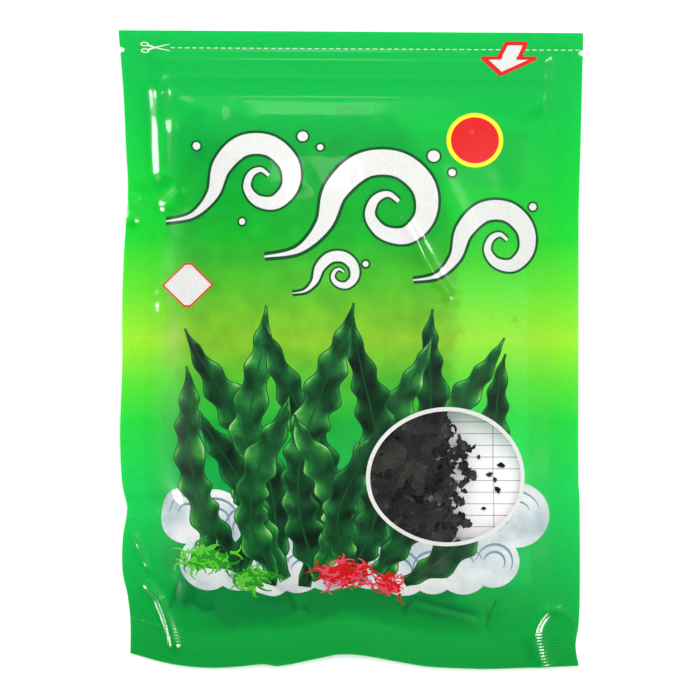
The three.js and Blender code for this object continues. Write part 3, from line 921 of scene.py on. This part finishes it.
def layFlake(target, masters, u, v, height, follows, size, draw, tilt=flake["tilt"], gap=0.2):
    # a flake laid at a place on the flat film, along the front film's slope as far as follows says
    master = masters[draw.randrange(len(masters))]
    slopeX = (frontInside(u + 2, v) - frontInside(u - 2, v)) / 4 * follows
    slopeY = (frontInside(u, v + 2) - frontInside(u, v - 2)) / 4 * follows
    normal = Vector((draw.uniform(-tilt, tilt) - slopeX, draw.uniform(-tilt, tilt) - slopeY, 1)).normalized()
    turn = Matrix.Rotation(draw.uniform(0, 2 * math.pi), 4, "Z")
    turn = normal.to_track_quat("Z", "Y").to_matrix().to_4x4() @ turn
    place = Matrix.Translation((placeX(u, v) * mm, placeY(u, v) * mm, height * mm))
    start = len(target.verts)
    target.from_mesh(master)
    target.verts.ensure_lookup_table()
    moved = place @ turn @ Matrix.Diagonal((size * mm, size * mm, min(size, flake["thickest"]) * mm, 1))
    shade = draw.choice(flake["shades"])
    for vertex in target.verts[start:]:
        vertex.co = moved @ vertex.co
        for face in vertex.link_faces:
            face.material_index = shade
    keepInside(target.verts[start:], gap)


def keepInside(vertices, gap):
    # presses a flake flat where it would stand through a film
    for vertex in vertices:
        u, v = vertex.co.x / mm, vertex.co.y / mm
        u = 2 * u - placeX(u, v)  # back onto the flat film
        v = 2 * v - placeY(u, v)
        top = frontOutside(u, v) - pouch["filmThickness"] - gap
        low = backForm(u, v) + pouch["filmThickness"] + gap
        z = vertex.co.z / mm
        if z > top:
            z = top - 0.25 * min(1.0, z - top)
        vertex.co.z = max(z, low) * mm


# pitch, sizes, depth under the film or None on the back, distance kept from the heap's edge, whether it is
# in and round the window, and masters: large leaves all over, scraps at the heap's edge in the window
layers = [
    (6.4, (3.8, 6.8), 0.9, 0, False, plainMasters),
    (8.5, (3.8, 6.8), 5.0, 0, False, plainMasters),
    (8.0, (3.8, 6.8), None, 0, False, plainMasters),
    (3.0, (2.0, 4.2), 0.7, 0, True, raggedMasters),
    (4.8, (3.8, 6.8), 0.9, 2.0, True, plainMasters),
    (4.2, (4.0, 6.4), 2.6, 1.5, True, plainMasters),
    (5.5, (2.5, 5.2), None, 0, True, raggedMasters),
]
heapField = {"left": -60.0, "bottom": -90.0, "top": 79, "jitter": 0.4, "floorGap": 0.9, "filmGap": 0.8,
             "atCrease": 2.2}
windowZone = {"left": 2.0, "right": 60.0, "bottom": -70.0, "top": -17.0, "scraps": 9.0}
windowEdge = curveThrough([
    (-70, 38.5), (-64.7, 38.3), (-59.2, 42.6), (-55.4, 38.5), (-48.5, 40.4), (-45, 42.0), (-42.6, 45.4),
    (-37.5, 39.9), (-34, 43.3), (-29.5, 39.3), (-21.2, 34.4), (-17, 33.5),
])
# gaps near the edge that show the pale back: place on the flat film and half-width
gaps = [(35.4, -31.0, 1.2), (36.8, -41.9, 1.3), (30.2, -37.2, 0.6), (27.4, -50.8, 0.6),
        (36.6, -55.6, 0.8), (37.4, -48.2, 0.6)]


def raggedEdge(v):
    # the heap's right edge, with bays in it
    inWindow = windowZone["bottom"] < v < windowZone["top"]
    edge = windowEdge(v) if inWindow else heapRight(v) + 2.6 * wander(v / 4.0, 0.3, 9.0)
    return edge + 1.3 * wander(v / 1.8, 4.3, 2.0)


def inZone(u, v):
    return windowZone["left"] < u < windowZone["right"] and windowZone["bottom"] < v < windowZone["top"]


def sizeAt(u, v, size, toEdge, inWindow):
    # a flake is smaller at the heap's edge, beside a gap and where a crease presses on it
    least, share = (1.7, 0.65) if inWindow else (2.0, 0.8)
    size = min(size, max(least, share * toEdge))
    for gapU, gapV, gapSize in gaps:
        away = math.hypot(u - gapU, v - gapV) - gapSize
        if away < size:
            size = max(0.0, away)
    if any(height < 0 for height, width, shade, distance in creasesNear(u, v, 3.0)):
        size = min(size, heapField["atCrease"])
    return size


for pitch, sizes, depth, edgeGap, inWindow, masters in layers:
    v = heapField["bottom"]
    while v < heapField["top"]:
        right = raggedEdge(v)
        u = heapField["left"]
        while u < right:
            pu = u + heapRandom.uniform(-heapField["jitter"], heapField["jitter"]) * pitch
            pv = v + heapRandom.uniform(-heapField["jitter"], heapField["jitter"]) * pitch
            toEdge = raggedEdge(pv) - pu - edgeGap
            size = sizeAt(pu, pv, heapRandom.uniform(*sizes), toEdge, inWindow)
            fits = size > flake["least"] and toEdge > 0.4 * size
            if masters is raggedMasters and depth and toEdge > windowZone["scraps"]:
                fits = False
            if fits and inZone(pu, pv) == inWindow:
                size = fittedSize(pu, pv, size)
                if depth is None:
                    height, follows = backOutside(pu, pv) + heapField["floorGap"], 0.0
                else:
                    deep = depth * heapRandom.uniform(0.8, 1.3) - min(0.0, creaseHeight(pu, pv))
                    height = max(frontInside(pu, pv) - deep, backOutside(pu, pv) + heapField["filmGap"])
                    follows = 1.0
                layFlake(heap, masters, pu, pv, height, follows, size, heapRandom)
            u += pitch
        v += pitch

# clumps pressed against the film along the bottom seal: place on the flat film and half-width
pressedClumps = [
    (-60.5, -87.5, 3.0), (-56, -85, 3.4), (-51, -88, 2.6), (-46, -89.5, 2.2), (-27, -89, 2.6),
    (-21, -88, 2.4), (17, -89.5, 2.8), (23, -88, 3.2), (29, -88.5, 3.4), (35, -89.5, 3.0),
    (41, -90.5, 2.6), (47, -91.5, 1.9), (31, -92.5, 1.5), (39, -93.3, 1.2), (52.5, -91.5, 1.3),
]
for u, v, size in pressedClumps:
    for deep in (0.35, 0.85):
        pu, pv = u + heapRandom.uniform(-0.6, 0.6), v + heapRandom.uniform(-0.6, 0.6)
        height = frontInside(pu, pv) + min(0.0, creaseHeight(pu, pv)) - deep
        layFlake(heap, raggedMasters, pu, pv, height, 1.0, fittedSize(pu, pv, size), heapRandom, 0.05, 0.15)


def wakamePiece(name, gathered):
    mesh = bpy.data.meshes.new(name)
    gathered.to_mesh(mesh)
    gathered.free()
    print(name + ":", len(mesh.polygons), "faces")
    return addPiece(name, mesh, wakame)


driedFlakes = wakamePiece("dried_flakes", heap)
pick(driedFlakes)
bpy.ops.object.shade_smooth_by_angle(angle=flake["smoothAngle"])
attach(driedFlakes, "root")
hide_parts("wakame_heap")

# loose crumbs beside the heap: place on the flat film and half-width; and fine specks all round
crumbPlaces = [
    (53, -40, 1.1), (48.8, -43.2, 1.0), (51, -45, 0.8), (51.6, -48.3, 1.1), (48.6, -21, 0.6), (56, -20, 1.0),
    (45, -37, 0.7), (46.5, -55, 0.7), (58, 10, 1.1), (52, 40, 1.0), (47, 60, 0.9),
]
specks = {"count": 150, "across": (-64, 66), "up": (-92, 86), "size": (0.25, 0.6), "oneInWindow": 4}
crumbMasters = raggedMasters[1:3] + raggedMasters[4:6]
crumbRandom = random.Random(8)
crumbs = bmesh.new()
for u, v, size in crumbPlaces:
    height = backOutside(u, v) + 0.7
    layFlake(crumbs, crumbMasters, u, v, height, 0.0, 1.2 * size, crumbRandom, gap=0.12)
for i in range(specks["count"]):
    u, v = crumbRandom.uniform(*specks["across"]), crumbRandom.uniform(*specks["up"])
    size = crumbRandom.uniform(*specks["size"])
    beside = u > heapRight(v) + 1 or v > heapField["top"]
    if beside and not (inZone(u, v) and i % specks["oneInWindow"]):
        layFlake(crumbs, plainMasters, u, v, frontInside(u, v) - 0.3, 1.0, size, crumbRandom, gap=0.1)
looseCrumbs = wakamePiece("loose_crumbs", crumbs)
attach(looseCrumbs, "root")
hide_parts(*[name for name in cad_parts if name.startswith("crumb_")])
for mesh in plainMasters + raggedMasters:
    bpy.data.meshes.remove(mesh)


def zipMaterial():
    sheet = NodeSheet("zipPlastic")
    streak = sheet.noise(sheet.add("TexCoord").outputs["Object"], 300.0, 2.0)
    colour = sheet.ramp(streak, [(0.3, (0.45, 0.72, 0.55, 1)), (0.7, (0.58, 0.8, 0.66, 1))])
    return sheet.finishOverClear(sheet.surface(colour, 0.35), 0.22, (0.95, 0.97, 0.95, 1))


zipPlastic = zipMaterial()
for name in ("zip_groove", "zip_ridge"):
    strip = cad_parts[name]
    strip.data.materials.clear()
    strip.data.materials.append(zipPlastic)
print("zip strips finished")


def studio():
    sheet = NodeSheet("palePaper")
    grain = sheet.noise(sheet.add("TexCoord").outputs["Object"], 500.0, 2.0)
    paper = sheet.ramp(grain, [(0.3, (0.95, 0.95, 0.95, 1)), (0.7, (0.98, 0.98, 0.98, 1))])
    sheet.finish(sheet.surface(paper, 0.8))
    bpy.ops.object.select_all(action="DESELECT")
    bpy.ops.mesh.primitive_plane_add(size=6, location=(0, 0, -0.0004))
    floor = bpy.context.object
    floor.name = "floor"
    floor.data.materials.append(sheet.material)

    # soft fill that leaves no image in the gloss, and small lamps that draw the glints: place, size, power
    lamps = {
        "overFill": ((0.05, 0.15, 1.5), (1.2, 1.2), 21.5),
        "topFill": ((0.0, 1.0, 0.9), (1.2, 0.9), 11.2),
        "leftFill": ((-1.0, 0.2, 0.8), (0.9, 1.2), 7.8),
        "rightFill": ((1.0, 0.1, 0.8), (0.9, 1.2), 6.9),
        "bottomFill": ((0.0, -1.0, 0.9), (1.2, 0.8), 1.4),
        "topGlint": ((-0.02, 0.45, 0.7), (0.1, 0.2), 0.16),
        "leftGlint": ((-0.6, 0.175, 0.105), (0.2, 0.15), 2.1),
        "spotGlint": ((-0.6, 0.025, 0.045), (0.06, 0.06), 0.22),
        "lowLeftGlint": ((-0.6, -0.24, 0.055), (0.26, 0.09), 2.3),
        "lowRightGlint": ((0.5, -0.31, 0.27), (0.34, 0.2), 5.4),
        "streakGlint": ((0.53, 0.4, 0.6), (0.14, 0.2), 1.7),
    }
    for name, (spot, size, power) in lamps.items():
        data = bpy.data.lights.new(name, "AREA")
        data.shape = "RECTANGLE"
        data.size, data.size_y = size
        data.energy = power
        lamp = bpy.data.objects.new(name, data)
        lamp.location = spot
        lamp.rotation_euler = (-Vector(spot)).to_track_quat("-Z", "Y").to_euler()
        lamp.visible_glossy = name.endswith("Glint")
        lamp.visible_diffuse = not lamp.visible_glossy
        bpy.context.collection.objects.link(lamp)
    world = bpy.data.worlds.new("room")
    world.use_nodes = True
    background = world.node_tree.nodes["Background"]
    background.inputs[0].default_value = (1, 1, 1, 1)
    background.inputs[1].default_value = 0.06
    bpy.context.scene.world = world


studio()
view = {"distance": 1.0, "shownWidth": 0.2415, "sensor": 36.0}
cameraData = bpy.data.cameras.new("camera")
cameraData.sensor_width = view["sensor"]
cameraData.lens = view["sensor"] * view["distance"] / view["shownWidth"]
camera = bpy.data.objects.new("camera", cameraData)
camera.location = (-0.0003, -0.0002, view["distance"])
bpy.context.collection.objects.link(camera)
bpy.context.scene.camera = camera
bpy.context.scene.view_settings.view_transform = "Standard"  # keeps the print's full colour
print("studio ready")
